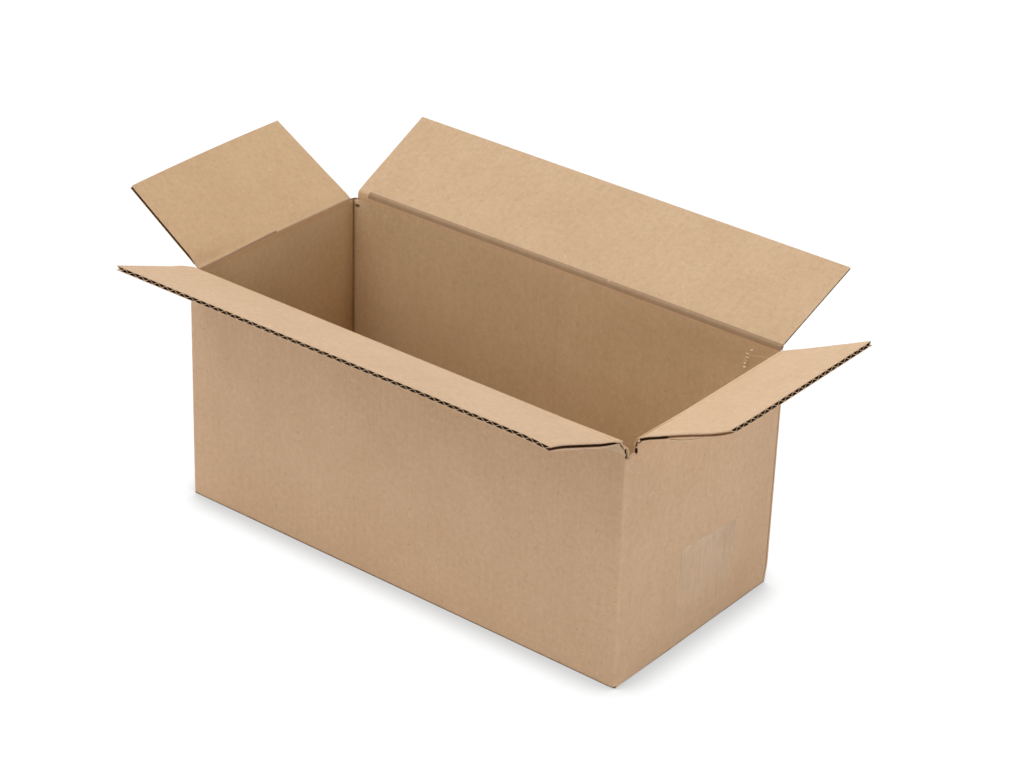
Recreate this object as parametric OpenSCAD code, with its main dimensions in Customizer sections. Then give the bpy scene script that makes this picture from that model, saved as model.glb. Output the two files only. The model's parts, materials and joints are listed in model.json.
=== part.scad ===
// Open corrugated shipping carton: one folded and taped box with its four
// top flaps standing open. The carton stands on its bottom face, with +Z up,
// +X along the front wall to the right and -Y towards the front.

/* [Carton] */
// Outside length along the front wall
body_len = 305; // [220:1:500]
// Outside width between the front and back walls
body_w = 140; // [110:1:300]
// Height of the fold line of the front and back flaps
fold_h = 146.4; // [90:0.1:300]
// Outside radius of the folded edges
edge_r = 2; // [1:0.1:3]

/* [Board] */
// Thickness of the corrugated board
board_t = 2.5; // [2:0.1:3.2]
// Thickness of each flat liner sheet
liner_t = 0.35; // [0.2:0.05:0.5]
// Thickness of the wavy middle sheet
medium_t = 0.3; // [0.2:0.05:0.4]
// Distance between two flutes
flute_pitch = 6.2; // [5:0.1:8]
// Width of the glued crest where the wavy sheet meets a liner
flute_bond = 1.1; // [0.8:0.1:1.4]

/* [Top flaps] */
// Length of the front and back flaps from their fold
long_flap_len = 65; // [40:0.5:75]
// Length of the left and right flaps from their fold
end_flap_len = 62; // [40:0.5:75]
// Tilt of the open front flap above level
front_tilt = 20.8; // [0:0.1:60]
// Tilt of the open back flap above level
back_tilt = 24.8; // [0:0.1:60]
// Tilt of the open left flap above level
left_tilt = 30.9; // [0:0.1:60]
// Tilt of the open right flap above level
right_tilt = 25.2; // [0:0.1:60]

/* [Fold lines] */
// Depth of the fold's axis behind the outside face
fold_inset = 0.4; // [0.2:0.05:0.8]
// Gap from the axis to the crushed edge on either side
fold_gap = 0.1; // [0.08:0.01:0.3]
// Step of the crushed edge inwards from the axis
fold_step = 0.05; // [0.03:0.01:0.2]
// Steepness of the crushed outside edge, for a flap that folds right back
fold_back = 80; // [70:1:83]
// Length of crushed, closed flutes next to a fold
crush_len = 5; // [4.5:0.1:8]
// Running gap between the closed end flaps and the long flaps above them
stack_gap = 0.7; // [0.2:0.05:1]

/* [Corner slots] */
// Cut back of the front and back flaps from the corners
slot_long = 4; // [3.5:0.1:8]
// Cut back of the end flaps at the wide corner slots
slot_end = 8.4; // [4:0.1:12]
// Cut back of the left flap at the front left corner
slot_end_narrow = 4; // [3.5:0.1:8]
// Depth of the front slots below the fold line
slot_drop = 8; // [6:0.1:14]
// Depth of the back left slot below the fold line
slot_drop_back = 4.8; // [4.5:0.1:12]
// Clearance of the flaps at the glued corner, which has no slot
joint_clear = 0.4; // [0.3:0.1:1]
// Depth of the open flute along a slot's upright edges
slot_flute = 1.6; // [0.8:0.1:2.4]

/* [Glue tab] */
// Width of the tab glued inside the back wall
tab_w = 20; // [12:1:40]
// Thickness of the tab, crushed flat by the glueing
tab_t = 1.2; // [0.6:0.1:2]
// Slope of the tab's two ends
tab_slope = 12; // [5:1:25]
// Gap from the tab's ends to the floor and the fold line
tab_gap = 6; // [4.5:0.5:12]
// Width of the groove where the tab's fold meets the back wall's cut edge
joint_groove = 0.6; // [0.4:0.1:1]
// Depth of that groove in the end wall
joint_groove_deep = 1.4; // [0.6:0.1:1.6]

/* [Bottom] */
// Length of the inner bottom flaps from the end walls
bottom_flap_len = 65; // [40:1:90]
// Gap between the two outer bottom flaps
seam_gap = 2; // [1:0.5:6]
// Gap between the outer bottom flaps' ends and the end folds
end_groove = 0.8; // [0.4:0.1:2]
// Distance of that groove from the end wall's face
end_groove_in = 4; // [3.5:0.1:8]
// Depth of the open flutes in the free edges of the inner bottom flaps
mouth_depth = 5; // [2:0.5:12]
// Clearance beside the outermost of these flutes
mouth_side = 1.5; // [1:0.5:4]

/* [Tape] */
// Width of the clear tape over the bottom seam
tape_w = 50; // [36:1:75]
// Thickness of the tape
tape_t = 0.12; // [0.1:0.01:0.2]
// Sideways shift of the tape from the seam
tape_shift = 5.5; // [-10:0.5:10]
// Height of the tape's turned up ends
tape_rise = 60; // [30:1:80]
// Lean of the turned up ends
tape_lean = 3.5; // [-6:0.5:6]

/* [Hidden] */
$fn = 64;

// How far a cutter runs past the faces it cuts
over = 1;
// Points along each side of a flute
flute_steps = 6;
kraft = [0.76, 0.63, 0.5];
kraft_inside = [0.84, 0.71, 0.58];
film = [0.85, 0.82, 0.76, 0.5];

half_len = body_len / 2;
half_w = body_w / 2;
// The end flaps fold one board lower, so the long flaps close over them
end_fold_h = fold_h - board_t - stack_gap;
floor_z = 2 * board_t;
// Part of the board's thickness on the inside of the fold's axis
fold_deep = board_t - fold_inset;
// Length of the outside taper next to a fold
taper_len = (fold_inset + fold_step) * tan(fold_back);
// The wavy sheet's half height, from the middle of the board
wave = (board_t - 2 * liner_t - medium_t) / 2;
slot_hollow = board_t - 2 * liner_t;
// Clearance of an end flap from the back wall's inside, at the glued corner
joint_end = board_t + joint_clear;

// A rectangle standing on the level line, its two lower corners rounded
module round_foot(width, height, r) {
    translate([-width / 2 + r, 0]) square([width - 2 * r, height]);
    translate([-width / 2, r]) square([width, height - r]);
    for (side = [-1, 1])
        translate([side * (width / 2 - r), r]) circle(r);
}

module round_plan(length, width, r) {
    square([length - 2 * r, width], center = true);
    square([length, width - 2 * r], center = true);
    for (sx = [-1, 1], sy = [-1, 1])
        translate([sx * (length / 2 - r), sy * (width / 2 - r)]) circle(r);
}

// An outline in the XZ plane, drawn out along Y
module across(width) {
    translate([0, width / 2, 0])
        rotate([90, 0, 0])
            linear_extrude(width) children();
}

// An outline in the YZ plane, drawn out along X
module along(length) {
    translate([-length / 2, 0, 0])
        rotate([90, 0, 90])
            linear_extrude(length) children();
}

// Solid outside shape of the walls and bottom, with every folded edge round
module carton_block() {
    intersection() {
        linear_extrude(fold_h) round_plan(body_len, body_w, edge_r);
        across(body_w + over) round_foot(body_len, fold_h + over, edge_r);
        along(body_len + over) round_foot(body_w, fold_h + over, edge_r);
    }
}

module carton_inside() {
    inner_len = body_len - 2 * board_t;
    inner_w = body_w - 2 * board_t;
    translate([-inner_len / 2, -inner_w / 2, floor_z])
        cube([inner_len, inner_w, fold_h]);
    // Between the inner flaps the floor is one board lower
    bare_len = body_len - 2 * bottom_flap_len;
    translate([-bare_len / 2, -inner_w / 2, board_t])
        cube([bare_len, inner_w, fold_h]);
}

// What is cut from a wall's top, on the wall's side of the fold: an outline
// with X inwards from the outside face and Y up from the axis
module rim_outline() {
    top = board_t + stack_gap + over;
    polygon([
        [-over, top],
        [-over, -fold_gap - fold_step - taper_len],
        [0, -fold_gap - fold_step - taper_len],
        [fold_inset + fold_step, -fold_gap - fold_step],
        [board_t, -fold_gap - fold_deep],
        [board_t, top],
    ]);
}

// The rim cut along one wall, at the front and drawn out along X
module rim_cut(length, axis_y, axis_z) {
    translate([0, -axis_y, axis_z]) along(length) rim_outline();
}

module slot_cut(long_cut, end_cut, drop) {
    bottom = fold_h - drop;
    translate([half_len - long_cut, -half_w - over, bottom])
        cube([long_cut + over, end_cut + over, drop + over]);
    // The flute laid open along each upright edge of the slot
    hollow_h = drop - crush_len;
    if (hollow_h > 0) {
        translate([half_len - long_cut - slot_flute, -half_w + liner_t, bottom])
            cube([slot_flute + over, slot_hollow, hollow_h]);
        translate([half_len - liner_t - slot_hollow, -half_w + end_cut - over, bottom])
            cube([slot_hollow, slot_flute + over, hollow_h]);
    }
}

module glue_tab() {
    low = floor_z + tab_gap;
    high = fold_h - tab_gap;
    slope = tab_w * tan(tab_slope);
    inner_x = half_len - board_t;
    translate([0, half_w - board_t, 0])
        rotate([90, 0, 0])
            linear_extrude(tab_t)
                polygon([
                    [inner_x, low],
                    [inner_x, high],
                    [inner_x - tab_w, high - slope],
                    [inner_x - tab_w, low + slope],
                ]);
}

// Grooves of the bottom: the open seam, and the ends of the outer flaps
module bottom_grooves() {
    translate([-half_len + end_groove_in, -seam_gap / 2, -over])
        cube([body_len - 2 * end_groove_in, seam_gap, board_t + over]);
    for (side = [-1, 1])
        translate([side * (half_len - end_groove_in) - end_groove / 2, -half_w - over, -over])
            cube([end_groove, body_w + 2 * over, board_t / 2 + over]);
}

// Edge of the wavy sheet beside a flute, at x from the flute's middle
function wave_edge(x, pitch) =
    let (slope = wave * 2 * PI / pitch * sin(360 * x / pitch))
    -wave * cos(360 * x / pitch) + medium_t / 2 * sqrt(1 + slope * slope);

// One open flute between the wavy sheet and a liner
module flute(pitch) {
    half = (pitch - flute_bond) / 2;
    roof = board_t / 2 - liner_t;
    polygon(concat(
        [for (i = [0 : flute_steps])
            let (x = half * (2 * i / flute_steps - 1))
            [x, min(wave_edge(x, pitch), roof - 0.05)]],
        [[half, roof], [-half, roof]]
    ));
}

// The open flutes on both sides of the wavy sheet, across a board's width
module flute_row(width) {
    count = round(width / flute_pitch);
    pitch = width / count;
    for (i = [0 : count])
        translate([i * pitch, 0]) flute(pitch);
    for (i = [0 : count - 1])
        translate([(i + 0.5) * pitch, 0]) mirror([0, 1]) flute(pitch);
}

// Flute mouths in the free edges of the two inner bottom flaps
module floor_mouths() {
    inner_w = body_w - 2 * board_t;
    for (turn = [0, 180])
        rotate([0, 0, turn])
            translate([half_len - bottom_flap_len - over, -inner_w / 2, 1.5 * board_t])
                rotate([90, 0, 90])
                    linear_extrude(mouth_depth + over)
                        intersection() {
                            flute_row(inner_w);
                            translate([mouth_side, -board_t / 2])
                                square([inner_w - 2 * mouth_side, board_t]);
                        }
}

// The groove along the glued corner, between the tab's fold and the back
// wall's cut edge
module joint_seam() {
    low = board_t;
    translate([half_len - joint_groove_deep, half_w - board_t - joint_groove / 2, low])
        cube([joint_groove_deep + over, joint_groove, fold_h]);
}

// The outside of the carton where the tape lies on it
module tape_back() {
    translate([0, tape_t]) round_foot(body_len, fold_h, edge_r);
}

module tape_seat() {
    translate([0, tape_shift, 0])
        across(tape_w)
            difference() {
                translate([-half_len - over, -over])
                    square([body_len + 2 * over, edge_r + tape_t + over]);
                tape_back();
            }
}

module carton_body() {
    color(kraft) {
        difference() {
            carton_block();
            carton_inside();
            rim_cut(body_len + 2 * over, half_w, fold_h);
            rotate([0, 0, 180]) rim_cut(body_len + 2 * over, half_w, fold_h);
            for (turn = [-90, 90])
                rotate([0, 0, turn]) rim_cut(body_w + 2 * over, half_len, end_fold_h);
            slot_cut(slot_long, slot_end, slot_drop);
            mirror([1, 0, 0]) slot_cut(slot_long, slot_end_narrow, slot_drop);
            rotate([0, 0, 180]) slot_cut(slot_long, slot_end, slot_drop_back);
            bottom_grooves();
            floor_mouths();
            joint_seam();
            tape_seat();
        }
        glue_tab();
    }
}

// Cross-section of a flap: two liners and the wavy sheet between them, whose
// crests meet the inside liner at both side edges
module flap_section(width) {
    difference() {
        translate([0, -board_t / 2]) square([width, board_t]);
        flute_row(width);
    }
}

// A flap lying closed, with its axis on the X axis and its free edge at +Y
module flap_board(from, to, length) {
    width = to - from;
    translate([from, 0, 0])
        rotate([90, 0, 90])
            linear_extrude(width)
                polygon([
                    [fold_gap + fold_deep, -fold_deep],
                    [fold_gap + fold_step, -fold_step],
                    [fold_gap + fold_step + taper_len, fold_inset],
                    [crush_len, fold_inset],
                    [crush_len, -fold_deep],
                ]);
    translate([from, length, fold_inset - board_t / 2])
        rotate([90, 0, 0])
            linear_extrude(length - crush_len)
                flap_section(width);
}

// A flap on the front side, its axis at reach from the middle, standing open
module open_flap(from, to, length, tilt, reach, height) {
    color(kraft_inside)
        translate([0, fold_inset - reach, height])
            rotate([180 - tilt, 0, 0])
                flap_board(from, to, length);
}

module front_flap() {
    open_flap(-half_len + slot_long, half_len - slot_long,
              long_flap_len, front_tilt, half_w, fold_h);
}

module back_flap() {
    rotate([0, 0, 180])
        open_flap(-half_len + joint_clear, half_len - slot_long,
                  long_flap_len, back_tilt, half_w, fold_h);
}

module left_flap() {
    rotate([0, 0, -90])
        open_flap(-half_w + slot_end, half_w - slot_end_narrow,
                  end_flap_len, left_tilt, half_len, end_fold_h);
}

module right_flap() {
    rotate([0, 0, 90])
        open_flap(-half_w + slot_end, half_w - joint_end,
                  end_flap_len, right_tilt, half_len, end_fold_h);
}

module tape_end() {
    bend_z = edge_r + tape_t;
    intersection() {
        translate([half_len, tape_shift, bend_z])
            rotate([-tape_lean, 0, 0])
                translate([0, -tape_w / 2, -bend_z])
                    cube([tape_t, tape_w, tape_rise]);
        translate([half_len - over, -half_w, bend_z])
            cube([2 * over, body_w, fold_h]);
    }
}

module bottom_tape() {
    color(film) {
        translate([0, tape_shift, 0])
            across(tape_w)
                difference() {
                    round_foot(body_len + 2 * tape_t, edge_r + tape_t, edge_r + tape_t - 0.001);
                    tape_back();
                }
        tape_end();
        mirror([1, 0, 0]) tape_end();
    }
}

carton_body();
front_flap();
back_flap();
left_flap();
right_flap();
bottom_tape();
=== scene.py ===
# %% [markdown]
# # An open shipping carton
# The real object is one sheet of corrugated board, cut, folded, glued at one corner and taped at the bottom.
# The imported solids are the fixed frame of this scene: one folded body, four top flaps that swing on their
# folds and one strip of tape. Blender never moves those solids. It dresses them: the flaps get the small
# twists that real board has, the folds get unbroken paper over them, and everything gets its material.

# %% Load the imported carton
import json
import math

import bmesh
import bpy
from mathutils import Matrix, Vector


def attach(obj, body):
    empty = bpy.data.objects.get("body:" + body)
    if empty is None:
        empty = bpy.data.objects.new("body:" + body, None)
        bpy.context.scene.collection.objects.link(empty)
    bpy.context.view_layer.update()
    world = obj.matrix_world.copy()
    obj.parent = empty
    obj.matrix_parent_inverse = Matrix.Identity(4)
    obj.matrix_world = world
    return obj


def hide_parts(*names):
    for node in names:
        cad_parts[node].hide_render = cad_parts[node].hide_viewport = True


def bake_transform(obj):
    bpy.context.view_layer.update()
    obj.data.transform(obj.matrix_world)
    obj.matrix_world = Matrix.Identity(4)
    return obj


MM = 0.001
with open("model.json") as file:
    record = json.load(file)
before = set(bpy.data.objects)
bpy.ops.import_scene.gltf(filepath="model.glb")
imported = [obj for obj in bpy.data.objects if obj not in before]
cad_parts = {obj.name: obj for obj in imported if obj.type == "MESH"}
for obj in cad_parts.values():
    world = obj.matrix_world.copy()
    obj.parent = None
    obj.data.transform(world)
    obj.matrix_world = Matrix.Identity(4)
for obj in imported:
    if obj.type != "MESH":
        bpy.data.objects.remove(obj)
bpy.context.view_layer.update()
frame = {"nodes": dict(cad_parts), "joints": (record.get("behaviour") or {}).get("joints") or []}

# %% [markdown]
# ## The camera
# A camera could be placed by eye, but then no edge would lie where it should. This one was solved from the
# straight edges of the box. It stands to the right of the front and looks down by 28 degrees. The long lens
# keeps the box's verticals nearly parallel, as a product photo does. The picture is 1024 by 768, so the lens
# is given for the sensor's full width.

# %% Camera
CAMERA_PLACE = (0.82712, -1.0400, 0.81455)
CAMERA_AZIMUTH = 37.68
CAMERA_ELEVATION = 28.295
CAMERA_ROLL = 1.938
CAMERA_LENS = 96.04
camera_data = bpy.data.cameras.new("camera")
camera_data.sensor_fit = "HORIZONTAL"
camera_data.sensor_width = 36
camera_data.lens = CAMERA_LENS
camera_data.clip_start = 0.01
camera_data.clip_end = 60
camera = bpy.data.objects.new("camera", camera_data)
bpy.context.scene.collection.objects.link(camera)
turn_sideways = Matrix.Rotation(math.radians(CAMERA_AZIMUTH), 4, "Z")
turn_down = Matrix.Rotation(math.radians(90 - CAMERA_ELEVATION), 4, "X")
turn_roll = Matrix.Rotation(math.radians(CAMERA_ROLL), 4, "Z")
camera.matrix_world = Matrix.Translation(CAMERA_PLACE) @ turn_sideways @ turn_down @ turn_roll
bpy.context.scene.camera = camera
print("camera is", round(Vector(CAMERA_PLACE).length, 2), "m from the carton's foot")

# %% [markdown]
# ## Small node helpers
# Every finish here is a node tree. It could be wired by hand in the editor. In a script a few short helpers
# keep it readable: one adds a node and feeds its inputs, and the others do arithmetic, turn a value into a
# band between two limits, mix two colours, read a noise, stretch a place and raise a surface.


# %% Node helpers
class Tree:
    """The nodes of one material or world, with short names for the calls that repeat."""

    def __init__(self, owner):
        owner.use_nodes = True
        self.owner = owner
        self.nodes = owner.node_tree.nodes
        self.links = owner.node_tree.links
        self.nodes.clear()

    def add(self, kind, inputs=None, **settings):
        node = self.nodes.new(kind)
        for name, value in settings.items():
            setattr(node, name, value)
        for name, value in (inputs or {}).items():
            self.feed(node.inputs[name], value)
        return node

    def feed(self, socket, value):
        if isinstance(value, bpy.types.NodeSocket):
            self.links.new(value, socket)
        else:
            socket.default_value = value

    def math(self, operation, first, second=0.0, third=0.0):
        return self.add("ShaderNodeMath", {0: first, 1: second, 2: third}, operation=operation).outputs[0]

    def band(self, value, low, high, to_low=0.0, to_high=1.0):
        limits = {0: value, 1: low, 2: high, 3: to_low, 4: to_high}
        return self.add("ShaderNodeMapRange", limits, interpolation_type="SMOOTHSTEP").outputs[0]

    def mix(self, share, first, second, clamp=True):
        colors = {0: share, 6: first, 7: second}
        return self.add("ShaderNodeMix", colors, data_type="RGBA", clamp_factor=clamp).outputs[2]

    def noise(self, place, scale, detail=2.0, roughness=0.5):
        inputs = {"Vector": place, "Scale": scale, "Detail": detail, "Roughness": roughness}
        return self.add("ShaderNodeTexNoise", inputs).outputs[0]

    def stretch(self, place, scale):
        return self.add("ShaderNodeMapping", {"Vector": place, "Scale": scale}).outputs[0]

    def bump(self, height, strength, distance):
        inputs = {"Height": height, "Strength": strength, "Distance": distance}
        return self.add("ShaderNodeBump", inputs).outputs[0]

    def show(self, shader, output="ShaderNodeOutputMaterial"):
        self.links.new(shader, self.add(output).inputs[0])
        return self.owner


# %% [markdown]
# ## Kraft board
# Kraft liner is brown paper: a warm base with soft clouds, fine fibre grain, a few light and dark specks,
# and faint lines over the flutes, which print through the paper. A picture of board could be wrapped on, but
# it would show seams at the folds. So all of it is procedural and reads Object coordinates, in metres, and
# it stays on each piece as the piece swings. Two tones are mixed by five noises, and some of the same noises
# raise the paper a little.

# %% Kraft tones
KRAFT_LIGHT = (0.655, 0.460, 0.295, 1)
KRAFT_DARK = (0.60, 0.410, 0.254, 1)
FLUTE_PITCH = 6.2 * MM
# how strongly each noise moves the paper between its dark and its light tone
TONE_SHARES = {"clouds": 1.7, "mottle": 3.0, "streaks": 1.2, "grain": 2.4, "fibres": 0.8}
# how high each of these stands
RELIEF = {"grain": 0.05 * MM, "flutes": 0.016 * MM, "streaks": 0.06 * MM, "fibres": 0.02 * MM}
# for the dark and the pale specks: the scale of their noise, the band of it that shows, and their colour
SPECKS = (
    (520.0, 0.70, 0.78, (0.36, 0.22, 0.12, 1)),
    (410.0, 0.72, 0.80, (0.80, 0.62, 0.43, 1)),
)
SPECK_STRENGTH = 0.35


def across_flutes(tree, coords):
    """The place counted across the flutes, and a noise drawn out along them.

    The flutes of the end walls and end flaps are counted along Y, all the others along X.
    """
    point = tree.add("ShaderNodeSeparateXYZ", {0: coords["Object"]}).outputs
    normal = tree.add("ShaderNodeSeparateXYZ", {0: coords["Normal"]}).outputs
    faces_x = tree.math("GREATER_THAN", tree.math("ABSOLUTE", normal[0]), tree.math("ABSOLUTE", normal[1]))
    across = tree.add("ShaderNodeMix", {0: faces_x, 2: point[0], 3: point[1]}).outputs[0]
    drawn_out = tree.add("ShaderNodeCombineXYZ", {
        0: tree.math("MULTIPLY", across, 900.0),
        1: tree.math("MULTIPLY", point[2], 14.0),
        2: tree.math("MULTIPLY", faces_x, 31.0),
    }).outputs[0]
    return across, tree.noise(drawn_out, 1.0, 3.0, 0.55)


def paper_color(tree, place, noises, light, dark):
    tone = 0.5
    for name, share in TONE_SHARES.items():
        tone = tree.math("MULTIPLY_ADD", tree.math("SUBTRACT", noises[name], 0.5), share, tone)
    color = tree.mix(tone, dark, light, clamp=False)
    for scale, low, high, speck in SPECKS:
        share = tree.band(tree.noise(place, scale, 1.0, 0.4), low, high, 0.0, SPECK_STRENGTH)
        color = tree.mix(share, color, speck)
    return color


# %% Kraft material
def kraft_material(name, light=KRAFT_LIGHT, dark=KRAFT_DARK):
    tree = Tree(bpy.data.materials.new(name))
    coords = tree.add("ShaderNodeTexCoord").outputs
    place = coords["Object"]
    across, streaks = across_flutes(tree, coords)
    noises = {
        "flutes": tree.math("SINE", tree.math("MULTIPLY", across, 2 * math.pi / FLUTE_PITCH)),
        "streaks": streaks,
        "clouds": tree.noise(place, 28.0, 4.0, 0.55),
        "mottle": tree.noise(place, 300.0, 3.0, 0.65),
        "grain": tree.noise(place, 900.0, 3.0, 0.6),
        "fibres": tree.noise(place, 2600.0, 2.0, 0.6),
    }
    height = 0.0
    for relief, depth in RELIEF.items():
        height = tree.math("MULTIPLY_ADD", noises[relief], depth, height)
    shader = tree.add("ShaderNodeBsdfPrincipled", {
        "Base Color": paper_color(tree, place, noises, light, dark),
        "Roughness": tree.band(noises["grain"], 0.3, 0.7, 0.66, 0.82),
        "Specular IOR Level": 0.36,
        "Normal": tree.bump(height, 0.8, 1.0),
    })
    return tree.show(shader.outputs[0])


kraft = kraft_material("kraft_board")
for node in frame["nodes"].values():
    node.data.materials.clear()
    node.data.materials.append(kraft)
print("kraft board on", len(frame["nodes"]), "pieces")

# %% [markdown]
# ## Where a place on a flap is
# A flap swings about a line near the wall's outside face. Its points could be told in X, Y and Z, but every
# flap would need its own sums. So a place on it is told by three lengths: how far out along the flap, how
# far along the fold, and how high above the fold's axis towards the inside face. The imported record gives
# the axis and the angle, so nothing here is measured twice.

# %% Fold frames
UP = Vector((0, 0, 1))
BOARD = 2.5
AXIS_INSET = 0.4
INSIDE_FACE = BOARD - AXIS_INSET


class Fold:
    """One flap's fold line, and the directions that a place near it is told by."""

    def __init__(self, joint):
        self.flap = joint["child"]
        self.place = Vector(joint["pos_m"])
        self.out = Vector((self.place.x, self.place.y, 0)).normalized()
        self.along = Vector(joint["axis"])
        self.tilt = math.radians(180 + joint["range_deg"][0])

    def reach(self, extra_tilt=0.0):
        angle = self.tilt + math.radians(extra_tilt)
        return self.out * math.cos(angle) + UP * math.sin(angle)

    def rise(self, extra_tilt=0.0):
        angle = self.tilt + math.radians(extra_tilt)
        return UP * math.cos(angle) - self.out * math.sin(angle)

    def measure(self, point):
        arm = (point - self.place) / MM
        return arm.dot(self.reach()), arm.dot(self.along), arm.dot(self.rise())

    def on_flap(self, reach, along, rise, extra_tilt=0.0):
        arm = self.reach(extra_tilt) * reach + self.along * along + self.rise(extra_tilt) * rise
        return self.place + arm * MM

    def on_wall(self, out, along, up):
        return self.place + (self.out * out + self.along * along + UP * up) * MM


folds = {joint["child"]: Fold(joint) for joint in frame["joints"]}
for flap, fold in folds.items():
    print(flap, "stands", round(math.degrees(fold.tilt), 1), "degrees above level")


# %% [markdown]
# ## The folded body
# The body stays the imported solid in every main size, but a handled carton is never quite square. Its
# upright edges stand up to a millimetre out of place, its front corner is bent outwards under the flap, its
# slots are torn a little wider and its bottom edges are sharper than its other folds. Sculpting could do
# that, but the script would not show how. So a copy of the solid is cut into bands, the points near the
# slots and the foot are nudged one rule at a time, and all of it is bent by one soft field that fades out at
# the folds and on the ground.

# %% Cutting and smoothing helpers
def ease(value):
    value = min(max(value, 0.0), 1.0)
    return value * value * (3 - 2 * value)


def between(pair, share):
    return pair[0] + (pair[1] - pair[0]) * share


def copied_solid(name):
    bm = bmesh.new()
    bm.from_mesh(frame["nodes"][name].data)
    bmesh.ops.remove_doubles(bm, verts=bm.verts, dist=0.001 * MM)
    return bm


def cut(bm, place, normal):
    geometry = bm.verts[:] + bm.edges[:] + bm.faces[:]
    bmesh.ops.bisect_plane(bm, geom=geometry, dist=0.0005 * MM, plane_co=place, plane_no=normal)


def smooth_but_edges(bm, sharp_angle=25):
    for face in bm.faces:
        face.smooth = True
    for edge in bm.edges:
        edge.smooth = len(edge.link_faces) == 2 and edge.calc_face_angle(0) < math.radians(sharp_angle)


def new_piece(name, bm, *materials):
    mesh = bpy.data.meshes.new(name)
    bm.to_mesh(mesh)
    bm.free()
    for material in materials:
        mesh.materials.append(material)
    piece = bpy.data.objects.new(name, mesh)
    bpy.context.scene.collection.objects.link(piece)
    return piece


# %% Soft field over the whole body
HALF_LENGTH = 152.5
HALF_WIDTH = 70.0
INNER_X = HALF_LENGTH - BOARD
INNER_Y = HALF_WIDTH - BOARD
FOLD_HEIGHT = 146.4
# where the front panel's upper right corner starts to lean out, and how far it leans at the fold
LEAN_START = 139.6
LEAN = 1.7
# how far the four upright edges stand out of place, in X and Y, low and high on the box
UPRIGHTS = {
    (-1, -1): ((-0.2, 0.0), (0.5, 0.0)),
    (1, -1): ((0.0, -0.1), (-0.2, -0.5)),
    (1, 1): ((0.8, 0.5), (0.9, 0.6)),
    (-1, 1): ((0.0, 0.0), (0.0, 0.0)),
}
HIGH_PLACE = 128


def upright_shift(x, y, z):
    fade = ease(z / 12) * (1 - ease((z - HIGH_PLACE) / 12))
    height = min(max(z / HIGH_PLACE, 0.0), 1.0)
    shift = Vector((0, 0, 0))
    for (side_x, side_y), ends in UPRIGHTS.items():
        weight = (0.5 + side_x * x / HALF_LENGTH / 2) * (0.5 + side_y * y / HALF_WIDTH / 2)
        shift.x += weight * between((ends[0][0], ends[1][0]), height)
        shift.y += weight * between((ends[0][1], ends[1][1]), height)
    return shift * fade


def corner_lean(x, y, z):
    """How far the front panel's upper corner leans out, at the right end of the front fold."""
    if y > -67.3 or z < LEAN_START:
        return 0.0
    return LEAN * (z - LEAN_START) / (FOLD_HEIGHT - LEAN_START) * ease((x - 112) / 36)


widest = max(Vector(place).length for ends in UPRIGHTS.values() for place in ends)
print("the upright edges stand up to", round(widest, 1), "mm out of place")


# %% Nudges at the slots and the foot
SLOT_FLOOR = FOLD_HEIGHT - 8.0
BACK_SLOT_FLOOR = FOLD_HEIGHT - 4.8
# two places closer than this are the same
TOUCH = 0.01


def widen_near_slot(x, y, z):
    """Moves the slot's edge in the front wall towards the corner and opens the flute that ends there."""
    if not (146.5 < x < 148.6 and y < -67.4 and z > SLOT_FLOOR - 0.1):
        return x, y, z
    if SLOT_FLOOR + 2.5 < z < SLOT_FLOOR + 3.5:
        z = 144.0
    if -67.9 < y < -67.8:
        y = -68.3
    return x + 1.9, y, z


def flatten_tab(x, y, z):
    """Presses the glued tab closer to the back wall."""
    on_tab = x > 129 and 66.2 < y < 66.4
    return x, 67.05 if on_tab else y, z


def sharpen_foot(x, y, z):
    """Makes the bottom edges sharper than the other folds, all but the blunt near corner."""
    if z >= 2 or (x > 150.4 and y < -67.9):
        return x, y, z
    keep = 0.35 + 0.65 * ease(z / 2)
    if abs(x) > HALF_LENGTH - 2.1:
        x = math.copysign(HALF_LENGTH - (HALF_LENGTH - abs(x)) * keep, x)
    if abs(y) > HALF_WIDTH - 2.1:
        y = math.copysign(HALF_WIDTH - (HALF_WIDTH - abs(y)) * keep, y)
    return x, y, z


def tear_back_slot(x, y, z):
    """Leaves a torn slope at the lower end of the back left slot."""
    if y > 67.4 and abs(x + 148.5) < TOUCH and 141.5 < z < 146.2:
        x += 2.9 * (1 - ease((z - BACK_SLOT_FLOOR) / 4))
        z += 1.4 if z < 142 else 0
    if x < -150 and abs(y - 61.6) < TOUCH and 141.5 < z < 141.7:
        z += 1.2
    return x, y, z


def nudge(bm, *rules):
    """Moves each point by the rules in turn. A rule takes a place in millimetres and gives its new place."""
    for vert in bm.verts:
        place = vert.co / MM
        for rule in rules:
            place = rule(*place)
        vert.co = Vector(place) * MM


# %% [markdown]
# ### Marks inside the body
# Two liners meet in the inner back left corner. They bulge, so a dark groove runs down between them, with a
# small torn hole near its top. A packed edge has pressed a faint line into the back wall. A bump in the
# material would not cast these shadows, so they are shape: points beside a cut are moved, and the hole is a
# patch of faces pushed into the board. The faces of the groove and of the hole also get darker papers, which
# are painted shade.

# %% Groove, pressed line and hole
PRESSED_X = 2.6
GROOVE_START = 6


def open_back_groove(x, y, z):
    """Lets both liners bulge beside the inner back left corner, so that a dark groove runs between them."""
    fade = ease((z - GROOVE_START) / 10)
    on_side = abs(x + INNER_X) < TOUCH
    on_back = abs(y - INNER_Y) < TOUCH
    if on_side and on_back:
        return x - 1.7 * fade, y - 0.7 * fade, z
    if on_back and x < -140 and z < 141.55:
        return x, y - 1.3 * fade * max(0.0, 1 - (x + 149) / 9), z
    if on_side and y > 56 and z < 141.05:
        return x - 0.25 * fade * max(0.0, (y - 56) / 9.6), y, z
    return x, y, z


def press_line(x, y, z):
    """Presses a faint upright line into the back wall."""
    pressed = abs(x - PRESSED_X) < TOUCH and abs(y - INNER_Y) < TOUCH and 52 <= z <= 136
    return x, y + 0.12 if pressed else y, z


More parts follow.
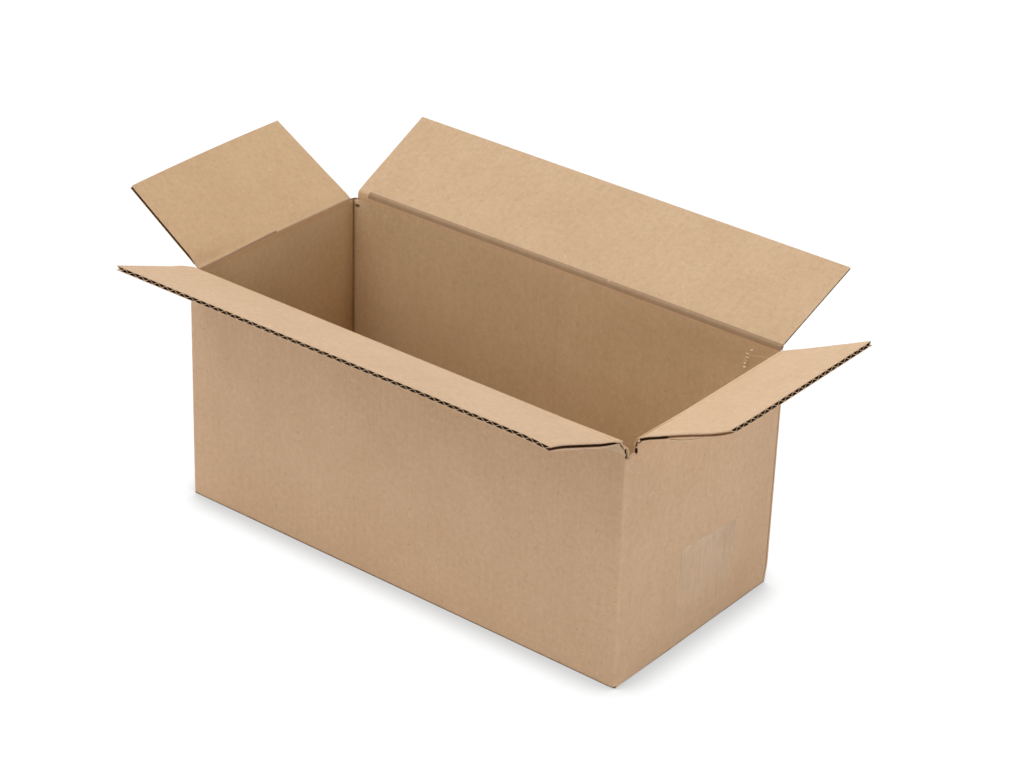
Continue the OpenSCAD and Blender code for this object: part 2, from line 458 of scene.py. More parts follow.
def punch(bm, low, high, wall_y, depth, paper):
    """A small torn hole through the inside liner of the back wall, given by two corners in X and Z."""
    inside = [face for face in bm.faces
              if low[0] * MM < face.calc_center_median().x < high[0] * MM
              and low[1] * MM < face.calc_center_median().z < high[1] * MM
              and abs(face.calc_center_median().y - wall_y * MM) < 0.4 * MM]
    grown = bmesh.ops.extrude_face_region(bm, geom=inside)["geom"]
    moved = [item for item in grown if isinstance(item, bmesh.types.BMVert)]
    bmesh.ops.translate(bm, verts=moved, vec=Vector((0, depth, 0)) * MM)
    bmesh.ops.delete(bm, geom=inside, context="FACES_ONLY")
    for item in grown:
        if isinstance(item, bmesh.types.BMFace):
            item.material_index = paper


# %% [markdown]
# ### The body's papers
# Board is not one brown. The inside liner is a slightly yellower paper than the outside one. Three papers are
# painted shade: a near black one in the open flutes, whose hollows are in shade, a darker one in the groove of
# the inner back left corner, and a dark one along the foot of the walls, where the rounded bottom edge is in
# shade, and in the torn hole. Each part could be a piece of its own, but one mesh can hold several materials,
# and each face says which it shows. That keeps the body one piece.

# %% Body papers
OUTSIDE, INSIDE, FLUTE_SHADE, GROOVE_SHADE, FOOT_SHADE = range(5)
kraft_outside = kraft_material("kraft_outside", (0.655, 0.445, 0.280, 1), (0.60, 0.396, 0.241, 1))
kraft_inside = kraft_material("kraft_inside", (0.650, 0.468, 0.282, 1), (0.595, 0.418, 0.243, 1))
# painted shade: the near black of an open flute's hollow, on the body and on the flaps
flute_shade_kraft = kraft_material("kraft_flute_painted_shade", (0.13, 0.055, 0.018, 1), (0.10, 0.042, 0.014, 1))
# painted shade: the dark of the groove in the inner back left corner
groove_shade_kraft = kraft_material("kraft_groove_painted_shade", (0.50, 0.325, 0.185, 1), (0.455, 0.29, 0.16, 1))
# painted shade: the dark rounded foot of the walls, and the inside of the torn hole
foot_shade_kraft = kraft_material("kraft_foot_painted_shade", (0.27, 0.165, 0.09, 1), (0.235, 0.14, 0.075, 1))
BODY_PAPERS = (kraft_outside, kraft_inside, flute_shade_kraft, groove_shade_kraft, foot_shade_kraft)


def body_paper(middle, normal):
    """Which paper a face shows, told from its middle and the way it faces."""
    x, y, z = middle
    front_flute = 148.7 < x < 150.35 and -69.66 < y < -67.84
    side_flute = 150.34 < x < 152.16 and -61.59 < y < -59.99
    # the open flutes at the near slot get the painted shade of their hollows
    if z > SLOT_FLOOR - TOUCH and (front_flute or side_flute):
        return FLUTE_SHADE
    # so does the torn slope of the back left slot, where flutes lie open
    if x < -145 and y > 61.5 and z > 141.5 and (normal.z > 0.7 or normal.x < -0.5):
        return FLUTE_SHADE
    # and so does the small hollow at the foot of the near corner
    if 0.05 < z < 1.6 and x > 150.7 and y < -68.2:
        return FLUTE_SHADE
    # a thin band low on the walls gets painted shade, where the rounded bottom edge turns away from the light
    if 0.03 < z < 1.1 and (abs(x) > 151.5 or abs(y) > 69):
        return FOOT_SHADE
    in_groove = (x < -149.01 and abs(y - INNER_Y) < TOUCH) or (y > 65.61 and abs(x + INNER_X) < TOUCH)
    # the groove's faces get painted shade
    if in_groove and z > 5 and x < 0:
        return GROOVE_SHADE
    return INSIDE if abs(x) < 150.2 and abs(y) < 67.7 else OUTSIDE


# %% Body board
ACROSS = Vector((1, 0, 0))
DEEP = Vector((0, 1, 0))
# the planes that cut the copy into bands, each given by its normal and its distances from the middle
BODY_CUTS = (
    (UP, (1.7, 12, 40, 70, 100, 118, HIGH_PLACE, 134, LEAN_START, 142.5)),
    (ACROSS, (-140, -110, -70, -35, 0, 35, 70, 100, 112, 120, 128, 136, 143)),
    (DEEP, (-55, -30, 0, 30, 55)),
    (ACROSS, (-149, -146, -145.6, PRESSED_X - 0.4, PRESSED_X, PRESSED_X + 0.4)),
    (DEEP, (65.6,)),
    (UP, (52, 136, 137.4, 139.6)),
)
HOLE = ((-149, 137.4), (-146, 139.6))
HOLE_DEPTH = 0.8


def body_board():
    bm = copied_solid("carton_body")
    nudge(bm, widen_near_slot, flatten_tab, sharpen_foot, tear_back_slot)
    for normal, places in BODY_CUTS:
        for place in places:
            cut(bm, normal * place * MM, normal)
    bm.normal_update()
    for face in bm.faces:
        face.material_index = body_paper(face.calc_center_median() / MM, face.normal)
    # the hole's faces get the painted shade of the foot paper
    punch(bm, *HOLE, INNER_Y, HOLE_DEPTH, FOOT_SHADE)
    nudge(bm, open_back_groove)
    nudge(bm, press_line)
    for vert in bm.verts:
        x, y, z = vert.co / MM
        shift = upright_shift(x, y, z)
        shift.y -= corner_lean(x, y, z)
        vert.co += shift * MM
    smooth_but_edges(bm)
    return new_piece("carton_board", bm, *BODY_PAPERS)


board = body_board()
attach(board, "carton")
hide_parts("carton_body")
print("the body board has", len(board.data.polygons), "faces")


# %% [markdown]
# ## Flaps that are not quite flat
# Real flaps twist a little when they are bent open by hand: one end stands higher than the other, and the
# free edges are a few millimetres out of square. A Simple Deform modifier could twist a whole flap, but not
# crush its root or pinch its edge. So a copy of the flat solid is cut into bands and each point is turned
# about the fold by its own small angle. The board is crushed next to the fold, where the score was pressed,
# and the back flap's right edge is squeezed thin. The back flap's right end stands three degrees lower than
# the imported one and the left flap's front end six degrees higher. When the carton is closed, the one lies
# above level and the other below it, so the flaps still close over each other.

# %% Flap shapes
# Each pair gives the two ends of a flap, counted along its fold. "ends" and "free_ends" are its side edges at
# the fold and at the free edge, "tilt" turns it in degrees, "length" reaches from the fold to the free edge
# and "bow" adds to it half way. Next to the fold the board is crushed to a share of its thickness, up to
# "crush_end", and "sink" lowers the flap near the fold and far from it.
FLAP_SHAPES = {
    "front_flap": {"ends": (-148.5, 148.5), "free_ends": (-148.5, 148.5), "tilt": (-0.4, 0.8),
                   "length": (61.5, 64.8), "bow": 0.0, "crush": 0.45, "crush_end": 15.0, "sink": (0.0, 1.2)},
    "back_flap": {"ends": (-151.2, 147.9), "free_ends": (-152.5, 149.9), "tilt": (-3.2, 0.0),
                  "length": (66.3, 65.4), "bow": 0.0, "crush": 0.9, "crush_end": 6.0, "sink": (0.0, 0.0)},
    "left_flap": {"ends": (-62.8, 63.2), "free_ends": (-61.4, 66.4), "tilt": (-0.2, 5.8),
                  "length": (64.4, 59.4), "bow": 0.6, "crush": 0.9, "crush_end": 6.0, "sink": (-0.2, 0.0)},
    "right_flap": {"ends": (-61.6, 66.9), "free_ends": (-61.6, 66.9), "tilt": (0.2, -0.2),
                   "length": (61.0, 59.9), "bow": 0.0, "crush": 0.9, "crush_end": 6.0, "sink": (-0.8, -0.35)},
}
SQUEEZED = 3.6


def flap_share(built_ends, along):
    first, last = built_ends
    return min(max((along - first) / (last - first), 0.0), 1.0)


def crushed(shape, reach, rise):
    keep = shape["crush"] + (1 - shape["crush"]) * ease(reach / shape["crush_end"])
    return (rise + AXIS_INSET) * keep - AXIS_INSET - between(shape["sink"], ease((reach - 3) / 17))


def squeezed(along, rise, first_end):
    """The rise of a place on the back flap, whose right edge is squeezed thin towards its inside face."""
    keep = 0.45 + 0.55 * min(max((along - first_end) / SQUEEZED, 0.0), 1.0)
    return INSIDE_FACE - (INSIDE_FACE - rise) * keep


# %% Bent corners and pressed roots
def corner_droop(flap, reach, along):
    """The front flap's right corner hangs a little. The right flap is pushed up at its near root."""
    if flap == "right_flap":
        curl = max((reach - 46.0) * 0.83 + (-57.0 - along) * 0.55, 0.0) / 15.0
        lift = 1.6 * (1 - ease((along + 61.6) / 50)) * (1 - ease((reach - 22) / 34))
        return -lift * (0.5 + 0.5 * ease(reach / 4)) - 0.7 * curl ** 2
    if flap != "front_flap":
        return 0.0
    past = (reach - 50.0) * 0.83 + (along - 148.5) * 0.55
    return 1.6 * max(past, 0.0) ** 2 / 16.0 ** 2


def root_press(flap, reach, along, rise):
    """How far a flap's board is pressed down next to its fold.

    On the left flap the inside liner is pressed, most at the front end. On the front flap the outside liner
    is pressed the other way at the right end, which leaves room for the leaning corner when it hangs down.
    """
    if flap == "front_flap":
        outside = 1 - (rise + AXIS_INSET) / BOARD
        return -0.9 * ease((along - 112) / 36) * (1 - ease(reach / 7)) * outside
    if flap != "left_flap":
        return 0.0
    return 1.6 * ease((along + 5) / 68) * (1 - ease(reach / 9)) * (rise + AXIS_INSET) / BOARD


# %% Open flutes of a flap
# the model's flutes end at this reach, next to the crushed root, and the copy's are drawn on to the second
ROOT = 5.0
FLUTE_END = 2.4
# from this reach on, the half flute along a flap's first side is closed by its own wavy sheet
FILLED_FROM = {"front_flap": 0, "right_flap": 20}
NEVER = 99


def inside_flutes(place, built, built_ends):
    """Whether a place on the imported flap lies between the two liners, in an open flute."""
    reach, along, rise = place
    clear_of_cuts = reach < built - TOUCH and built_ends[0] + TOUCH < along < built_ends[1] - TOUCH
    return reach > ROOT - TOUCH and clear_of_cuts and 0.05 - AXIS_INSET < rise < INSIDE_FACE - 0.05


def shows_flute(flap, place, built, built_ends):
    filled = place[1] < built_ends[0] + 3 and place[0] > FILLED_FROM.get(flap, NEVER)
    return inside_flutes(place, built, built_ends) and not filled


# %% Twisted flaps
CUTS_OUT = (8, 12, 16, 20, 27, 35, 43, 50, 54, 58)
CUT_ALONG = 15.0
# the left and back flaps get deeper, more saturated copies of the kraft: the front and right flaps, seen at a
# grazing angle, look paler from their sheen, so the difference between them is painted sheen
FLAP_SHEEN_TONES = {
    "left_flap": kraft_material("kraft_left_painted_sheen_tone", (0.650, 0.435, 0.252, 1), (0.595, 0.388, 0.217, 1)),
    "back_flap": kraft_material("kraft_back_painted_sheen_tone", (0.655, 0.452, 0.275, 1), (0.60, 0.402, 0.237, 1)),
}


def cut_flap(bm, fold, built_ends):
    for reach in CUTS_OUT:
        cut(bm, fold.on_flap(reach, 0, 0), fold.reach())
    ends = FLAP_SHAPES[fold.flap]["ends"]
    steps = int((ends[1] - ends[0]) / CUT_ALONG)
    for step in range(1, steps):
        cut(bm, fold.on_flap(0, between(built_ends, step / steps), 0), fold.along)
    if fold.flap == "back_flap":
        cut(bm, fold.on_flap(0, built_ends[0] + SQUEEZED, 0), fold.along)


def twisted_place(fold, place, built, built_ends):
    """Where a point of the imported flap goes."""
    shape = FLAP_SHAPES[fold.flap]
    reach, along, rise = place
    if abs(reach - ROOT) < TOUCH and 0.02 - AXIS_INSET < rise < INSIDE_FACE - 0.02:
        reach = FLUTE_END
    rise = squeezed(along, rise, built_ends[0]) if fold.flap == "back_flap" else rise
    share = flap_share(built_ends, along)
    length = between(shape["length"], share) + shape["bow"] * 4 * share * (1 - share)
    along = between([between(pair, reach / built) for pair in zip(shape["ends"], shape["free_ends"])], share)
    if reach > ROOT:
        reach = ROOT + (reach - ROOT) * (length - ROOT) / (built - ROOT)
    pressed = root_press(fold.flap, reach, along, rise)
    rise = crushed(shape, reach, rise) - corner_droop(fold.flap, reach, along) - pressed
    return fold.on_flap(reach, along, rise, between(shape["tilt"], share))


def twisted_flap(flap):
    fold = folds[flap]
    bm = copied_solid(flap)
    measured = [fold.measure(vert.co) for vert in bm.verts]
    built = max(place[0] for place in measured)
    built_ends = (min(place[1] for place in measured), max(place[1] for place in measured))
    cut_flap(bm, fold, built_ends)
    for face in bm.faces:
        middle = fold.measure(face.calc_center_median())
        # faces in an open flute get the painted shade of its hollow
        face.material_index = int(shows_flute(flap, middle, built, built_ends))
    for vert in bm.verts:
        vert.co = twisted_place(fold, fold.measure(vert.co), built, built_ends)
    smooth_but_edges(bm)
    piece = new_piece(flap + "_board", bm, FLAP_SHEEN_TONES.get(flap, kraft), flute_shade_kraft)
    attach(piece, flap)
    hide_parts(flap)
    print(piece.name, "is", round(built, 1), "mm long before its twist")


for flap in FLAP_SHAPES:
    twisted_flap(flap)

# %% [markdown]
# ## Paper over the folds
# A fold in real board is one unbroken sheet: the inside liner runs over the crease and the outside liner
# runs under it. The solids have a gap there, so that they can turn. A hinge of paper could be part of the
# flap or of the wall, but it would tear as the flap swings. So two thin strips close each fold. A strip
# starts as a grid, its points are laid on the fold's section, and it is given a paper's thickness.

# %% Sections of the folds
# Each inside section climbs the wall's rim, told by how far out and how far up each point is from the axis.
# The flaps were folded with more or less force, so no two rims are alike.
INSIDE_RIMS = {
    "front_flap": ((-2.13, -3.4), (-2.13, -2.5), (-1.98, -1.7), (-1.6, -0.95), (-1.15, -0.42),
                   (-0.7, -0.08), (-0.35, 0.1)),
    "back_flap": ((-2.13, -3.4), (-2.13, -2.2), (-2.13, -1.0), (-1.95, -0.35), (-1.75, 0.45),
                  (-1.5, 1.05), (-1.12, 1.55)),
    "left_flap": ((-2.13, -3.4), (-2.13, -2.2), (-2.13, -1.0), (-2.12, 0.0), (-2.05, 0.55),
                  (-1.9, 1.1), (-1.5, 1.62)),
    "right_flap": ((-2.13, -3.4), (-2.13, -2.2), (-2.13, -0.8), (-2.05, 0.3), (-1.85, 1.2),
                   (-1.45, 1.95), (-0.85, 2.5)),
}
# the left rim's section at the front end of its fold, where the flap's root is pressed
LEFT_LOW = ((-2.13, -3.4), (-2.13, -2.8), (-2.13, -2.2), (-2.12, -1.6), (-2.07, -1.1), (-1.85, -0.6),
            (-1.2, -0.1))
INSIDE_REACH = (0.3, 1.2, 2.2, 3.0, 4.0)
OUTSIDE_RIM = ((0.15, -1.35), (0.09, -0.8), (0.03, -0.35), (-0.02, -0.1))
OUTSIDE_REACH = (0.12, 0.4, 0.85, 1.4)
INSIDE_LINER = 0.3
OUTSIDE_LINER = 0.15


def wall_point(fold, out, up):
    return lambda along, tilt: fold.on_wall(out, along, up)


def flap_point(fold, reach, rise):
    def place(along, tilt):
        drop = corner_droop(fold.flap, reach, along) + root_press(fold.flap, reach, along, rise)
        return fold.on_flap(reach, along, rise - drop, tilt)
    return place


def mixed(plain, torn, first, last, torn_end=200.0):
    """A section point that goes from plain to torn between two places along the fold."""
    def place(along, tilt):
        share = ease((along - first) / (last - first))
        along = min(along, torn_end)
        return plain(along, tilt).lerp(torn(along, tilt), share)
    return place


# %% One strip
STRIP_STEP = 7.5
PLAIN, CREASE_SHADE, PALE = range(3)
# painted shade in a pressed crease, together with its darker crushed paper
crease_shade_kraft = kraft_material("kraft_crease_painted_shade", (0.40, 0.26, 0.15, 1), (0.36, 0.23, 0.13, 1))
pale_kraft = kraft_material("kraft_pale", (0.76, 0.56, 0.36, 1), (0.71, 0.51, 0.32, 1))


def lay_strip(bm, fold, section, ends):
    """Lays a flat unit grid on a fold: its first direction runs along the fold, its second follows section."""
    shape = FLAP_SHAPES[fold.flap]
    rows = len(section)
    for vert in bm.verts:
        along = between(ends, vert.co.x + 0.5)
        row = round((vert.co.y + 0.5) * (rows - 1))
        vert.co = section[row](along, between(shape["tilt"], flap_share(shape["ends"], along)))
    bmesh.ops.recalc_face_normals(bm, faces=bm.faces[:])


def fold_strip(name, fold, section, thickness, facing, start, end, mark=None, ends=None, paper=None):
    """A strip over a fold. mark(row, share) tells a face's paper."""
    ends = ends or FLAP_SHAPES[fold.flap]["ends"]
    rows = len(section)
    columns = max(int((ends[1] - ends[0]) / STRIP_STEP), 4)
    bm = bmesh.new()
    bmesh.ops.create_grid(bm, x_segments=columns, y_segments=rows - 1, size=0.5)
    for face in bm.faces:
        middle = face.calc_center_median()
        face.material_index = mark(int((middle.y + 0.5) * (rows - 1)), middle.x + 0.5) if mark else PLAIN
        face.smooth = True
    lay_strip(bm, fold, section, ends)
    middle = bm.faces[len(bm.faces) // 2]
    if middle.normal.dot(facing) < 0:
        bmesh.ops.reverse_faces(bm, faces=bm.faces[:])
    bmesh.ops.solidify(bm, geom=bm.faces[:], thickness=thickness * MM)
    bmesh.ops.recalc_face_normals(bm, faces=bm.faces[:])
    for edge in bm.edges:
        edge.smooth = edge.calc_face_angle(0) < math.radians(50)
    piece = new_piece(name, bm, paper or kraft, crease_shade_kraft, pale_kraft)
    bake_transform(piece)


# %% Strips over the four folds
def back_mark(row, share):
    """A dark band runs along nearly all of the back fold: painted shade in its pressed groove, together with
    the darker crushed paper there.
    """
    return CREASE_SHADE if 2 <= row < 8 and share < 0.984 else PLAIN


def left_mark(row, share):
    """The left fold's crest is paler along its back half, and along its front half it gets the painted shade
    of a crease.
    """
    if row not in (4, 5):
        return PLAIN
    return PALE if share < 0.5 else CREASE_SHADE


MARKS = {"back_flap": back_mark, "left_flap": left_mark}
for flap, fold in folds.items():
    shape = FLAP_SHAPES[flap]
    section = [wall_point(fold, out, up) for out, up in INSIDE_RIMS[flap]]
    if flap == "left_flap":
        section = [mixed(high, wall_point(fold, *low), -5, 63) for high, low in zip(section, LEFT_LOW)]
    section += [flap_point(fold, reach, crushed(shape, reach, INSIDE_FACE) + 0.03) for reach in INSIDE_REACH]
    fold_strip(flap + "_inside_crease", fold, section, INSIDE_LINER, fold.rise() - fold.out,
               fold.on_wall(-INSIDE_FACE, 0, 0), fold.on_flap(0, 0, INSIDE_FACE), MARKS.get(flap),
               paper=FLAP_SHEEN_TONES.get(flap))
    section = [wall_point(fold, out, up) for out, up in OUTSIDE_RIM]
    section += [flap_point(fold, reach, -out) for reach, (out, up) in zip(OUTSIDE_REACH, OUTSIDE_RIM[::-1])]
    fold_strip(flap + "_outside_crease", fold, section, OUTSIDE_LINER, fold.out - fold.rise(),
               fold.on_wall(0, 0, -1.2), fold.on_flap(1.2, 0, 0))
print("two strips of liner on each of", len(folds), "folds")


# %% [markdown]
# ### The torn corner beside the near slot
# Where the front fold ends, its two liners have come apart. The outside one bulges out in a facet that starts
# about six millimetres below the fold, and its paper is paler and greyer, a painted sheen. The inside one
# curls over the edge in a soft bend. The fold's own strips could be pulled out of shape there, but they would
# need far more points along their whole length. So both are short strips of their own. A section is given
# twice, as it is far from the corner and as it is at the corner.

# %% Corner liners
front = folds["front_flap"]
front_shape = FLAP_SHAPES["front_flap"]


def under_front(reach):
    return flap_point(front, reach, crushed(front_shape, reach, -AXIS_INSET) - 0.06)


def over_front(reach):
    return flap_point(front, reach, crushed(front_shape, reach, INSIDE_FACE) + 0.08)


def torn_section(wall_rows, flap_rows, on_flap, first, last):
    """A section that is plain up to first, along the fold, and torn from last on."""
    section = [mixed(wall_point(front, *plain), wall_point(front, *torn), first, last, torn_end)
               for plain, torn, torn_end in wall_rows]
    return section + [mixed(on_flap(plain), on_flap(torn), first, last, torn_end)
                      for plain, torn, torn_end in flap_rows]


# each row of a torn section: the plain place, the torn place and where the paper ends along the fold
FACET = (((0.43, -7.0), (0.43, -6.2), 151.0), ((0.43, -6.0), (0.80, -5.4), 151.0),
         ((0.43, -4.2), (1.70, -3.8), 150.9), ((0.40, -2.6), (2.5, -2.1), 150.6),
         ((0.2, -0.9), (3.2, -0.5), 149.9))
FACET_FLAP = ((1.5, 4.2, 148.6), (4.0, 6.5, 148.6), (9.0, 9.0, 148.6))
# painted sheen: the bulging facet is paler and greyer than the wall
facet_sheen_kraft = kraft_material("kraft_facet_painted_sheen", (0.635, 0.468, 0.302, 1), (0.585, 0.42, 0.262, 1))
fold_strip("corner_facet", front, torn_section(FACET, FACET_FLAP, under_front, 131, 147), 0.2, front.out,
           front.on_wall(0, 0, -6.5), front.on_flap(5, 0, 0), ends=(130, 151.2), paper=facet_sheen_kraft)

CURL = (((-2.16, -7.9), (-2.14, -7.9), 151.3), ((-2.16, -5.2), (-2.0, -5.2), 151.3),
        ((-2.16, -2.9), (-1.35, -2.9), 151.2), ((-2.05, -1.65), (-0.9, -1.9), 151.0),
        ((-1.3, -0.45), (0.1, -0.85), 150.5), ((-0.6, 0.08), (1.3, 0.1), 149.8))
CURL_FLAP = ((0.8, 3.0, 149.0), (3.0, 5.0, 148.6), (7.0, 7.0, 148.55))
fold_strip("corner_curl", front, torn_section(CURL, CURL_FLAP, over_front, 145.5, 149), 0.7,
           front.rise() - front.out, front.on_wall(-2, 0, -3.5), front.on_flap(3, 0, 0), ends=(144.0, 151.3))
print("two torn liners at the near corner")


# %% [markdown]
# ### Loose edges of liner
# Beside the near corner the cut edges of two flaps have come unglued: a narrow leaf of the outside liner
# sags below the right flap, and a thin pale lip shows along the front flap's right end. A leaf could be cut
# from the flap's own mesh, but it is simpler as a grid of its own, laid under the flap's edge, lowered in
# the middle and given a paper's thickness. It rides on the flap that it hangs from.

# %% Loose liners
def loose_liner(name, flap, reaches, alongs, sag, paper):
    """A narrow leaf of a flap's outside liner, along one side edge, that has come loose and sags."""
    fold = folds[flap]
    shape = FLAP_SHAPES[flap]
    tilt = shape["tilt"][0 if alongs[0] < 0 else 1]
    bm = bmesh.new()
    bmesh.ops.create_grid(bm, x_segments=14, y_segments=1, size=0.5)
    for vert in bm.verts:
        share = vert.co.x + 0.5
        reach = between(reaches, share)
        along = between(alongs, vert.co.y + 0.5)
        rise = crushed(shape, reach, -AXIS_INSET) - corner_droop(flap, reach, along)
        rise += 0.12 - sag * math.sin(math.pi * share) ** 0.8
        vert.co = fold.on_flap(reach, along, rise, tilt)
    bmesh.ops.recalc_face_normals(bm, faces=bm.faces[:])
    bmesh.ops.solidify(bm, geom=bm.faces[:], thickness=0.25 * MM)
    bmesh.ops.recalc_face_normals(bm, faces=bm.faces[:])
    piece = new_piece(name, bm, paper)
    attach(piece, flap)


lip_kraft = kraft_material("kraft_lip", (0.80, 0.62, 0.46, 1), (0.75, 0.57, 0.41, 1))
loose_liner("loose_liner", "right_flap", (20, 42), (-61.55, -60.0), 1.5, lip_kraft)
loose_liner("front_lip", "front_flap", (3, 60), (147.6, 149.0), 0.15, lip_kraft)
print("two loose edges of liner")

# %% [markdown]
# ### Torn fibres on the glue tab
# Along the glued tab a few bright flakes of torn liner stand up from the board. A particle system could
# strew them, but there are only six and each has its place. So each is a small leaf of paper, a flattened
# and leaning cube, and they all ride on the carton.

# %% Torn fibres
# for each flake: its place in X and Z, its width and its height
FLAKES = (
    (133.8, 140.4, 1.2, 0.8),
    (131.3, 137.4, 2.2, 0.45),
    (131.4, 135.1, 2.6, 0.4),
    (130.6, 133.2, 1.8, 0.35),
    (130.2, 131.4, 1.6, 0.75),
    (130.1, 128.9, 1.7, 0.8),
)
TAB_FACE = 66.85
FLAKE_PAPER = 0.25

bm = bmesh.new()
lean = Matrix.Rotation(math.radians(-38), 4, "X")
for x, z, width, height in FLAKES:
    grown = bmesh.ops.create_cube(bm, size=1.0)["verts"]
    size = Matrix.Diagonal((width * MM, FLAKE_PAPER * MM, height * MM)).to_4x4()
    place = Matrix.Translation(Vector((x, TAB_FACE, z)) * MM)
    bmesh.ops.transform(bm, verts=grown, matrix=place @ lean @ size)
flake_kraft = kraft_material("kraft_flake", (0.90, 0.72, 0.50, 1), (0.85, 0.66, 0.44, 1))
flakes = new_piece("torn_fibres", bm, flake_kraft)
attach(flakes, "carton")
print(len(FLAKES), "flakes of torn liner")

# %% [markdown]
# ## Clear tape
# The strip over the bottom seam is thin clear film, stuck down by hand. It looks a little whiter than the
# board, with pale upright streaks where the glue holds air. It could be a full glass material, but so thin
# a film hardly bends light, so a pale skin that is mostly see-through is enough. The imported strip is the
# right shape, so a copy of it is drawn in by a hair. Its two skins then lie clear of the board, and no two
# faces share a place.

# %% Tape
def tape_film():
    bm = copied_solid("bottom_tape")
    bmesh.ops.recalc_face_normals(bm, faces=bm.faces[:])
    for height in (8, 16, 24, 32, 40, 48, 56):
        cut(bm, Vector((0, 0, height)) * MM, UP)
    bm.normal_update()
    normals = [vert.normal.copy() for vert in bm.verts]
    for vert, normal in zip(bm.verts, normals):
        vert.co += upright_shift(*(vert.co / MM)) * MM - normal * 0.02 * MM
    smooth_but_edges(bm)
    return new_piece("tape_film", bm, clear_film)


def film_material():
    tree = Tree(bpy.data.materials.new("clear_film"))
    place = tree.add("ShaderNodeTexCoord").outputs["Object"]
    streaks = tree.noise(tree.stretch(place, (420.0, 420.0, 26.0)), 1.0, 3.0, 0.6)
    fine = tree.noise(tree.stretch(place, (1500.0, 1500.0, 60.0)), 1.0, 2.0, 0.6)
    air = tree.noise(place, 45.0, 3.0, 0.6)
    amount = tree.math("MULTIPLY_ADD", fine, 0.35, tree.math("MULTIPLY_ADD", air, 0.5, streaks))
    height = tree.add("ShaderNodeSeparateXYZ", {0: place}).outputs[2]
    whiteness = tree.band(height, 0.004, 0.05, 0.35, 1.0)
    shader = tree.add("ShaderNodeBsdfPrincipled", {
        "Base Color": (0.97, 0.89, 0.70, 1),
        "Roughness": tree.band(streaks, 0.3, 0.7, 0.28, 0.5),
        "Alpha": tree.math("MULTIPLY", tree.band(amount, 0.70, 1.20, 0.05, 0.17), whiteness),
        "Normal": tree.bump(streaks, 0.3, 0.08 * MM),
    })
    return tree.show(shader.outputs[0])


clear_film = film_material()
film = tape_film()
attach(film, "carton")
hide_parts("bottom_tape")
print("the tape film has", len(film.data.polygons), "faces")

# %% [markdown]
# ## Floor, world and lights
# A product photo stands on a white sheet that has no edge. The floor could be lit until it is white, but
# that light would wash out the carton too. So it glows white only for rays that come straight from the
# camera, from a shiny face or through film, and is plain paper for all others. Close to the carton its glow
# fades, which gives the soft shadow under the walls. The world is white in the same way.

# %% Floor
FLOOR_REACH = 14
FLOOR_DROP = 0.05
SHADOW_REACH = 0.026
# half the length and half the width of the ground that the carton covers
COVERED = (0.147, 0.064)

bm = bmesh.new()
bmesh.ops.create_grid(bm, x_segments=1, y_segments=1, size=FLOOR_REACH)
bmesh.ops.translate(bm, verts=bm.verts, vec=Vector((0, 0, -FLOOR_DROP)) * MM)
floor = new_piece("floor", bm)


def seen_directly(tree):
    path = tree.add("ShaderNodeLightPath").outputs
    seen = tree.math("MAXIMUM", path["Is Camera Ray"], path["Is Glossy Ray"])
    return tree.math("MAXIMUM", seen, path["Is Transmission Ray"])


def clear_of_carton(tree):
    """No light gets under the carton, so the seam in its bottom stays dark."""
    place = tree.add("ShaderNodeTexCoord").outputs["Object"]
    sides = tree.add("ShaderNodeSeparateXYZ", {0: place}).outputs
    clear = [tree.math("GREATER_THAN", tree.math("ABSOLUTE", side), limit)
             for side, limit in zip(sides, COVERED)]
    return tree.math("MAXIMUM", *clear)


tree = Tree(bpy.data.materials.new("pale_floor"))
paper = tree.add("ShaderNodeBsdfDiffuse", {"Color": (0.9, 0.9, 0.9, 1)}).outputs[0]
contact = tree.add("ShaderNodeAmbientOcclusion", {"Distance": SHADOW_REACH}, samples=12).outputs["AO"]
lit = tree.math("MULTIPLY", tree.band(contact, 0.42, 0.95, 0.56, 0.99), clear_of_carton(tree))
glow = tree.add("ShaderNodeEmission", {"Color": (1, 1, 1, 1), "Strength": lit}).outputs[0]
veil = tree.add("ShaderNodeBsdfDiffuse", {"Color": (0.07, 0.07, 0.07, 1)}).outputs[0]
bright = tree.add("ShaderNodeAddShader", {0: glow, 1: veil}).outputs[0]
shown = tree.add("ShaderNodeMixShader", {0: seen_directly(tree), 1: paper, 2: bright}).outputs[0]
floor.data.materials.append(tree.show(shown))
print("the floor is", 2 * FLOOR_REACH, "m wide")

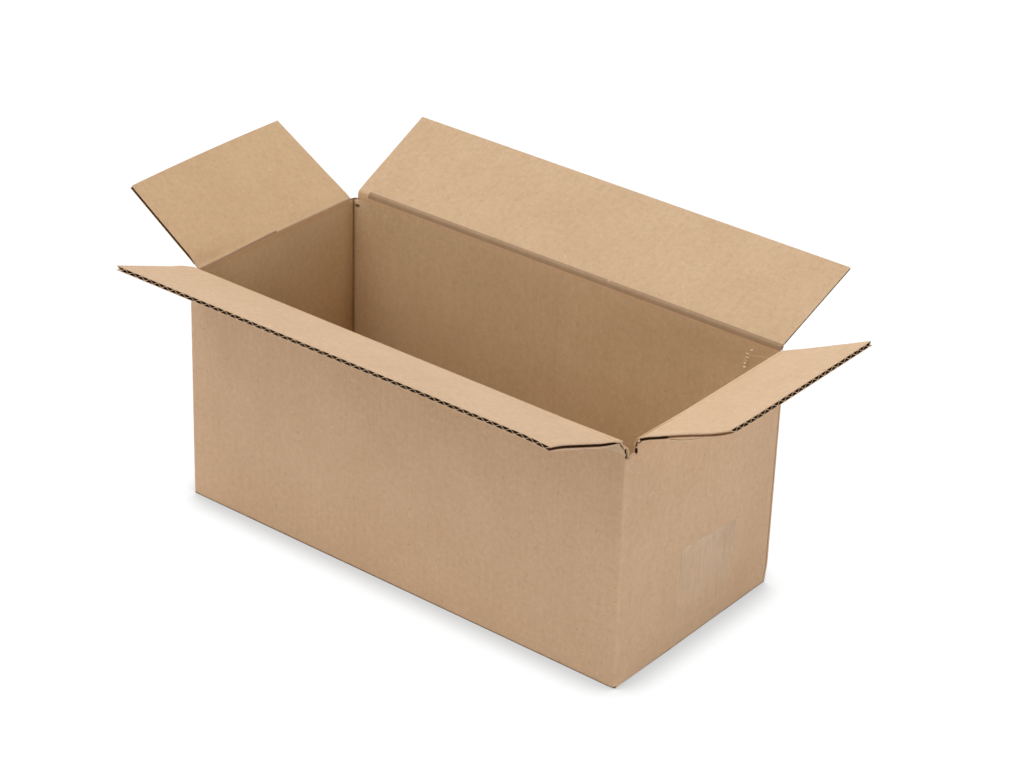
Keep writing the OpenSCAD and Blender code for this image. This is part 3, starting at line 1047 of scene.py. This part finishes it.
# %% World
ROOM_LIGHT = 0.08
world = bpy.data.worlds.new("studio")
bpy.context.scene.world = world
tree = Tree(world)
path = tree.add("ShaderNodeLightPath").outputs
seen = tree.math("MAXIMUM", path["Is Camera Ray"], path["Is Glossy Ray"])
room = tree.add("ShaderNodeBackground", {"Color": (1, 1, 1, 1), "Strength": ROOM_LIGHT}).outputs[0]
white = tree.add("ShaderNodeBackground", {"Color": (1, 1, 1, 1)}).outputs[0]
shown = tree.add("ShaderNodeMixShader", {0: seen, 1: room, 2: white}).outputs[0]
tree.show(shown, "ShaderNodeOutputWorld")
bpy.context.scene.view_settings.view_transform = "Standard"
print("the room gives", ROOM_LIGHT, "of full light")

# %% [markdown]
# ### Softboxes
# The light is even, with no hard edge. One sun could light the carton, but its walls would then differ far
# more than they do. So eight area lamps stand round it, and each is set for the wall or flap that it faces.

# %% Softboxes
LAMP_AIM = Vector((0, 0, 0.1))
# for each lamp: its name, its place, its two sides and its power
SOFTBOXES = (
    ("top_softbox", (0.0, 0.0, 3.0), (2.0, 2.0), 6.5),
    ("top_back_softbox", (-2.1, 1.6, 4.4), (3.0, 3.0), 78),
    ("right_softbox", (2.1, -0.7, 0.4), (1.4, 0.7), 14),
    ("right_spot", (1.1, 0.4, 1.1), (0.7, 0.7), 1.4),
    ("front_top_softbox", (-0.4, -1.5, 2.6), (1.6, 1.4), 25.5),
    ("front_softbox", (-0.6, -4.2, 3.0), (3.6, 2.4), 45),
    ("left_softbox", (-4.4, -0.4, 1.8), (2.8, 2.4), 69),
    ("back_softbox", (0.4, 4.4, 2.6), (3.6, 2.4), 88),
)


def softbox(name, place, sides, power):
    data = bpy.data.lights.new(name, "AREA")
    data.shape = "RECTANGLE"
    data.size, data.size_y = sides
    data.energy = power
    lamp = bpy.data.objects.new(name, data)
    bpy.context.scene.collection.objects.link(lamp)
    aim = LAMP_AIM - Vector(place)
    lamp.matrix_world = Matrix.Translation(place) @ aim.to_track_quat("-Z", "Y").to_matrix().to_4x4()


for lamp in SOFTBOXES:
    softbox(*lamp)
print(len(SOFTBOXES), "softboxes,", round(sum(lamp[3] for lamp in SOFTBOXES)), "W together")
